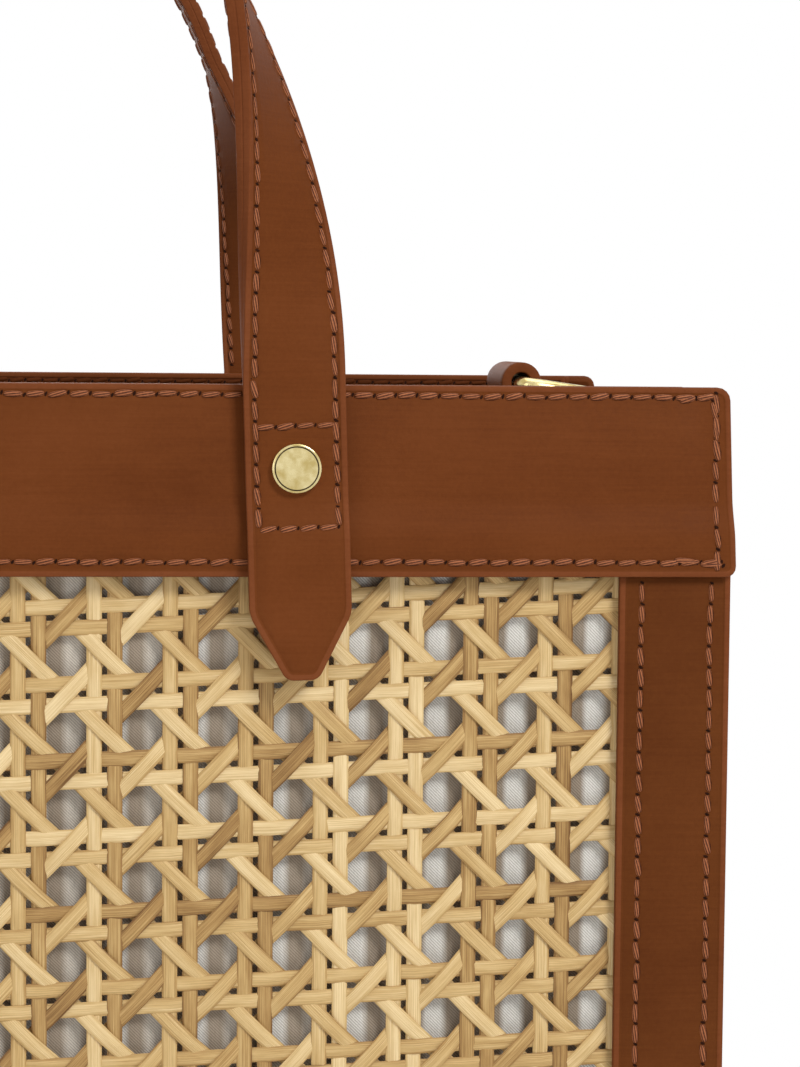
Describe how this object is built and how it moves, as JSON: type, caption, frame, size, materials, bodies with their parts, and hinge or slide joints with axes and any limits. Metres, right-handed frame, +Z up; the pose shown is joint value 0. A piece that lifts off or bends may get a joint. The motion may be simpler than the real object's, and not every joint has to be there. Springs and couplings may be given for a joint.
{
  "type": "cane basket box bag",
  "caption": "Box-shaped handbag of open cane webbing in a leather frame, with pinched gussets, twisted strap handles and side strap rings.",
  "frame": {"origin": "centre of the underside", "axes": "+X to the right seen from the front, front towards -Y, +Z up towards the handles"},
  "size_m": [0.2932, 0.1662, 0.3645],
  "materials": {
    "saddle_leather": "satin brown",
    "inner_leather": "matt dark brown",
    "cane": "natural cane",
    "striped_cotton": "striped cotton twill",
    "fibreboard": "plain",
    "brass": "satin"
  },
  "bodies": {
    "bag": {"front_cane": "cane", "front_top_band": "saddle_leather", "front_band_facing": "inner_leather", "front_bottom_strip": "saddle_leather", "front_handle": "saddle_leather", "front_lining": "striped_cotton", "front_right_strip": "saddle_leather", "front_right_rivet_cap": "brass", "front_right_rivet_post": "brass", "front_left_strip": "saddle_leather", "front_left_rivet_cap": "brass", "front_left_rivet_post": "brass", "back_cane": "cane", "back_top_band": "saddle_leather", "back_band_facing": "inner_leather", "back_bottom_strip": "saddle_leather", "back_handle": "saddle_leather", "back_lining": "striped_cotton", "back_right_strip": "saddle_leather", "back_right_rivet_cap": "brass", "back_right_rivet_post": "brass", "back_left_strip": "saddle_leather", "back_left_rivet_cap": "brass", "back_left_rivet_post": "brass", "right_gusset": "saddle_leather", "right_lining": "striped_cotton", "right_ring_tab": "saddle_leather", "left_gusset": "saddle_leather", "left_lining": "striped_cotton", "left_ring_tab": "saddle_leather", "base_panel": "saddle_leather", "base_board": "fibreboard", "lining_base": "striped_cotton"},
    "right_ring": {"right_d_ring": "brass"},
    "left_ring": {"left_d_ring": "brass"}
  },
  "joints": [
    {"name": "right_ring_swing", "type": "hinge", "parent": "bag", "child": "right_ring", "pos_m": [0.11795, 0, 0.24535], "axis": [0, -1, 0], "range_deg": [0, 190]},
    {"name": "left_ring_swing", "type": "hinge", "parent": "bag", "child": "left_ring", "pos_m": [-0.11795, 0, 0.24535], "axis": [0, 1, 0], "range_deg": [0, 190]}
  ]
}
